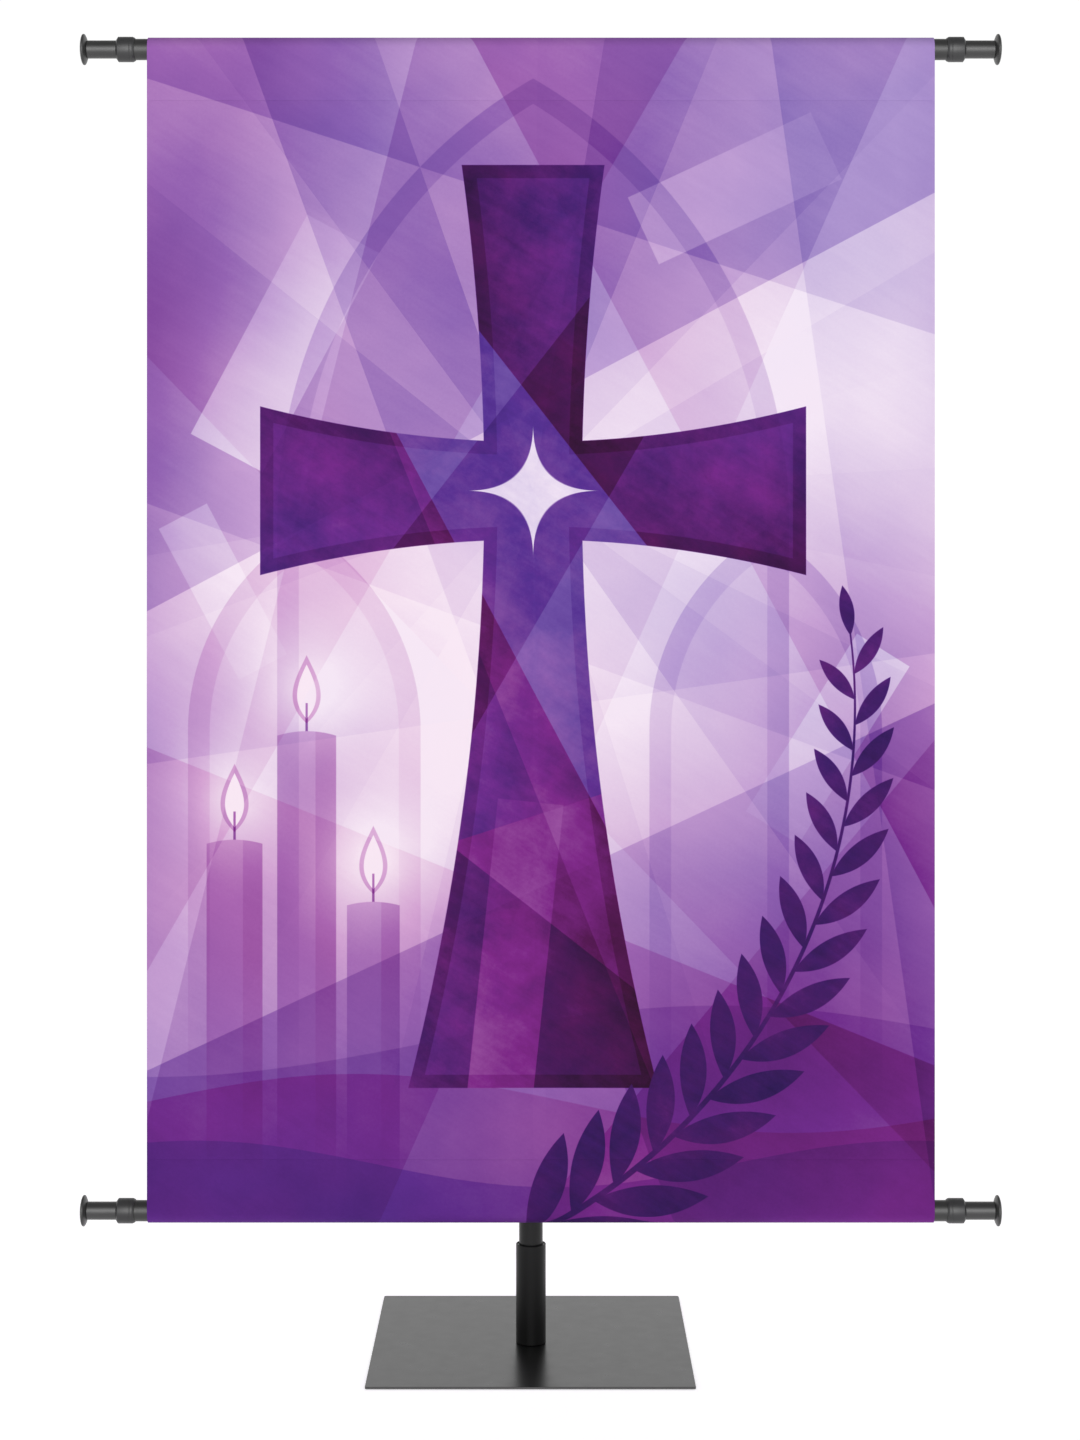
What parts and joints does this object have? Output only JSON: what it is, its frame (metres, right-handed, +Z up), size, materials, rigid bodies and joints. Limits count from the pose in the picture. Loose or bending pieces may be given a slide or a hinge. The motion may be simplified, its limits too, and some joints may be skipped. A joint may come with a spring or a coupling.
{
  "type": "church banner on a floor stand with crossbars",
  "caption": "Printed cloth banner spread flat between telescoping crossbars on a height-adjustable mast with a flat square base plate.",
  "frame": {"origin": "on the floor, on the mast's axis", "axes": "+Z up along the mast, -Y the way the printed side faces, +X to the right of a viewer of the printed side"},
  "size_m": [1.192, 0.41, 1.7075],
  "materials": {
    "black_steel": "satin black powder coat",
    "black_plastic": "fine matt black moulding",
    "black_rubber": "matt black",
    "printed_cloth": "matt woven polyester with a dye-printed front in violets and pinks"
  },
  "bodies": {
    "base": {"base_plate": "black_steel", "lower_tube": "black_steel"},
    "turning_bush": {"bush": "black_plastic"},
    "mast": {"mast_tube": "black_steel", "mast_cap": "black_plastic", "top_clip": "black_plastic", "bottom_clip": "black_plastic", "top_bar": "black_steel", "bottom_bar": "black_steel", "top_left_collar": "black_plastic", "top_right_collar": "black_plastic", "bottom_left_collar": "black_plastic", "bottom_right_collar": "black_plastic", "banner_cloth": "printed_cloth"},
    "top_left_end": {"top_left_extension": "black_steel", "top_left_end_cap": "black_rubber"},
    "top_right_end": {"top_right_extension": "black_steel", "top_right_end_cap": "black_rubber"},
    "bottom_left_end": {"bottom_left_extension": "black_steel", "bottom_left_end_cap": "black_rubber"},
    "bottom_right_end": {"bottom_right_extension": "black_steel", "bottom_right_end_cap": "black_rubber"}
  },
  "joints": [
    {"name": "mast_turn", "type": "hinge", "parent": "base", "child": "turning_bush", "pos_m": [0, 0, 0], "axis": [0, 0, 1], "continuous": true},
    {"name": "mast_height", "type": "slide", "parent": "turning_bush", "child": "mast", "axis": [0, 0, 1], "range_m": [-0.018, 0.05]},
    {"name": "top_left_reach", "type": "slide", "parent": "mast", "child": "top_left_end", "axis": [-1, 0, 0], "range_m": [-0.036, 0.16]},
    {"name": "top_right_reach", "type": "slide", "parent": "mast", "child": "top_right_end", "axis": [1, 0, 0], "range_m": [-0.036, 0.16]},
    {"name": "bottom_left_reach", "type": "slide", "parent": "mast", "child": "bottom_left_end", "axis": [-1, 0, 0], "range_m": [-0.036, 0.16]},
    {"name": "bottom_right_reach", "type": "slide", "parent": "mast", "child": "bottom_right_end", "axis": [1, 0, 0], "range_m": [-0.036, 0.16]}
  ]
}
